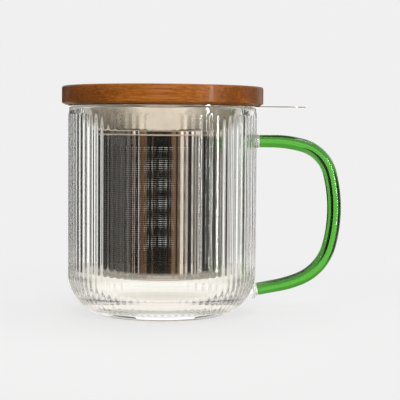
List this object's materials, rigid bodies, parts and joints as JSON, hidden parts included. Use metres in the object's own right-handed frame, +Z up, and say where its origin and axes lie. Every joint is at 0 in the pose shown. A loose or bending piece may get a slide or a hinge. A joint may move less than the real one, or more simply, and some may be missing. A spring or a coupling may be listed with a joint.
{
  "type": "lidded tea mug with infuser",
  "caption": "Ribbed clear glass tea mug with a coloured glass rod handle, a lift-out perforated steel infuser with a pull tab, and a lift-off wooden lid.",
  "frame": {"origin": "centre of the mug's flat base, on the axis of the glass body, in the plane that it stands on", "axes": "+Z up along the axis of the glass body, +X towards the handle and the infuser's lift tab"},
  "size_m": [0.1264, 0.0906, 0.1021],
  "materials": {
    "clear_glass": "clear polished borosilicate glass with moulded ribs",
    "green_glass": "transparent green glass, fire polished",
    "polished_steel": "finely polished stainless steel",
    "perforated_steel": "mirror-like perforated stainless sheet",
    "brown_wood": "oiled warm brown wood with a fine straight grain",
    "silicone": "translucent matt silicone"
  },
  "bodies": {
    "mug": {"glass_body": "clear_glass", "upper_handle_weld": "clear_glass", "lower_handle_weld": "clear_glass", "handle": "green_glass"},
    "infuser": {"infuser_collar": "polished_steel", "basket_sleeve": "perforated_steel", "basket_base": "perforated_steel"},
    "lid": {"lid": "brown_wood", "lid_seal": "silicone"}
  },
  "joints": [
    {"name": "infuser_lift", "type": "slide", "parent": "mug", "child": "infuser", "axis": [0, 0, 1], "range_m": [0, 0.1]},
    {"name": "lid_lift", "type": "slide", "parent": "infuser", "child": "lid", "axis": [0, 0, 1], "range_m": [0, 0.05]}
  ]
}
